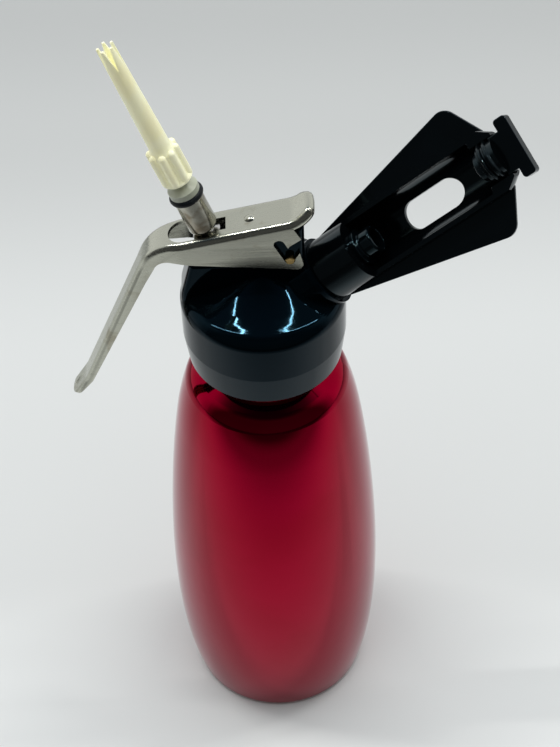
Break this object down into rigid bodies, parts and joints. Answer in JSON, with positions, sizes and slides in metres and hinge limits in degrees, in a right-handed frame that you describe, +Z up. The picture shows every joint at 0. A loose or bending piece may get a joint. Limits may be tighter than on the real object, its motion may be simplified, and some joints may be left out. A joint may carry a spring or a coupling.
{
  "type": "whipped cream dispenser",
  "caption": "Waisted aluminium bottle with a screw-on head, lever-worked outlet valve, toothed piping tip and open winged charger holder with an end screw.",
  "frame": {"origin": "centre of the bottle's flat base, on the surface it stands on", "axes": "+Z up the bottle's axis, +X towards the charger holder, -X towards the lever's handle and the outlet"},
  "size_m": [0.2068, 0.1064, 0.4158],
  "materials": {
    "red_aluminium": "anodised, satin gloss",
    "black_plastic": "polished",
    "gloss_black": "polished",
    "holder_plastic": "polished",
    "black_rubber": "matte",
    "lever_steel": "satin",
    "stem_steel": "turned",
    "tube_steel": "turned, semi-bright",
    "spring_steel": "drawn wire",
    "brass": "bright",
    "ivory_plastic": "smooth",
    "cream_plastic": "smooth, slightly translucent"
  },
  "bodies": {
    "bottle": {"bottle": "red_aluminium"},
    "head_gasket": {"head_gasket": "black_rubber"},
    "head": {"head_body": "black_plastic", "pivot_pin": "brass", "spring_washer": "stem_steel", "valve_spring": "spring_steel", "inlet_fitting": "brass", "inlet_fitting_seal": "black_rubber", "inlet_check_sleeve": "black_rubber", "piercing_pin": "stem_steel", "charger_seal": "black_rubber", "seal_retainer": "gloss_black"},
    "lever": {"lever": "lever_steel", "lever_rivet": "lever_steel", "lever_stop_block": "black_plastic"},
    "valve": {"valve_stem": "stem_steel", "stem_collar": "stem_steel", "stem_o_ring": "black_rubber", "valve_gasket": "black_rubber", "valve_gasket_nut": "stem_steel", "outlet_tube": "tube_steel", "outlet_o_ring": "black_rubber", "tip_adapter": "ivory_plastic"},
    "decorating_tip": {"decorating_tip": "cream_plastic"},
    "charger_holder": {"charger_holder": "holder_plastic"},
    "rest_pad": {"charger_rest_pad": "stem_steel"},
    "end_screw": {"end_screw": "holder_plastic"}
  },
  "joints": [
    {"name": "head_lift", "type": "slide", "parent": "bottle", "child": "head_gasket", "axis": [0, 0, 1], "range_m": [0, 0.0079]},
    {"name": "head_turn", "type": "hinge", "parent": "head_gasket", "child": "head", "pos_m": [0, 0, 0.2645], "axis": [0, 0, 1], "range_deg": [0, 810]},
    {"name": "lever_squeeze", "type": "hinge", "parent": "head", "child": "lever", "pos_m": [0.0124, 0, 0.3058], "axis": [0, -1, 0], "range_deg": [0, 8], "stiffness_Nm_per_rad": 2, "springref_deg": -8.59},
    {"name": "valve_push", "type": "slide", "parent": "head", "child": "valve", "axis": [0.319, 0, -0.9478], "range_m": [0, 0.0044], "deforming": ["valve_spring"]},
    {"name": "tip_turn", "type": "hinge", "parent": "valve", "child": "decorating_tip", "pos_m": [-0.0358, 0, 0.35454], "axis": [-0.319, 0, 0.9478], "range_deg": [0, 720]},
    {"name": "holder_turn", "type": "hinge", "parent": "head", "child": "charger_holder", "pos_m": [0.03505, 0, 0.29484], "axis": [0.7559, 0, 0.6547], "range_deg": [0, 720]},
    {"name": "screw_travel", "type": "slide", "parent": "charger_holder", "child": "rest_pad", "axis": [0.7559, 0, 0.6547], "range_m": [-0.003, 0.006]},
    {"name": "screw_turn", "type": "hinge", "parent": "rest_pad", "child": "end_screw", "pos_m": [0.09703, 0, 0.34853], "axis": [0.7559, 0, 0.6547], "range_deg": [-387, 773]}
  ],
  "couplings": [
    {"joint": "head_lift", "follows": "head_turn", "m_per_rad": 0.00055704},
    {"joint": "valve_push", "follows": "lever_squeeze", "m_per_rad": 0.0311},
    {"joint": "screw_turn", "follows": "screw_travel", "rad_per_m": 2244}
  ]
}
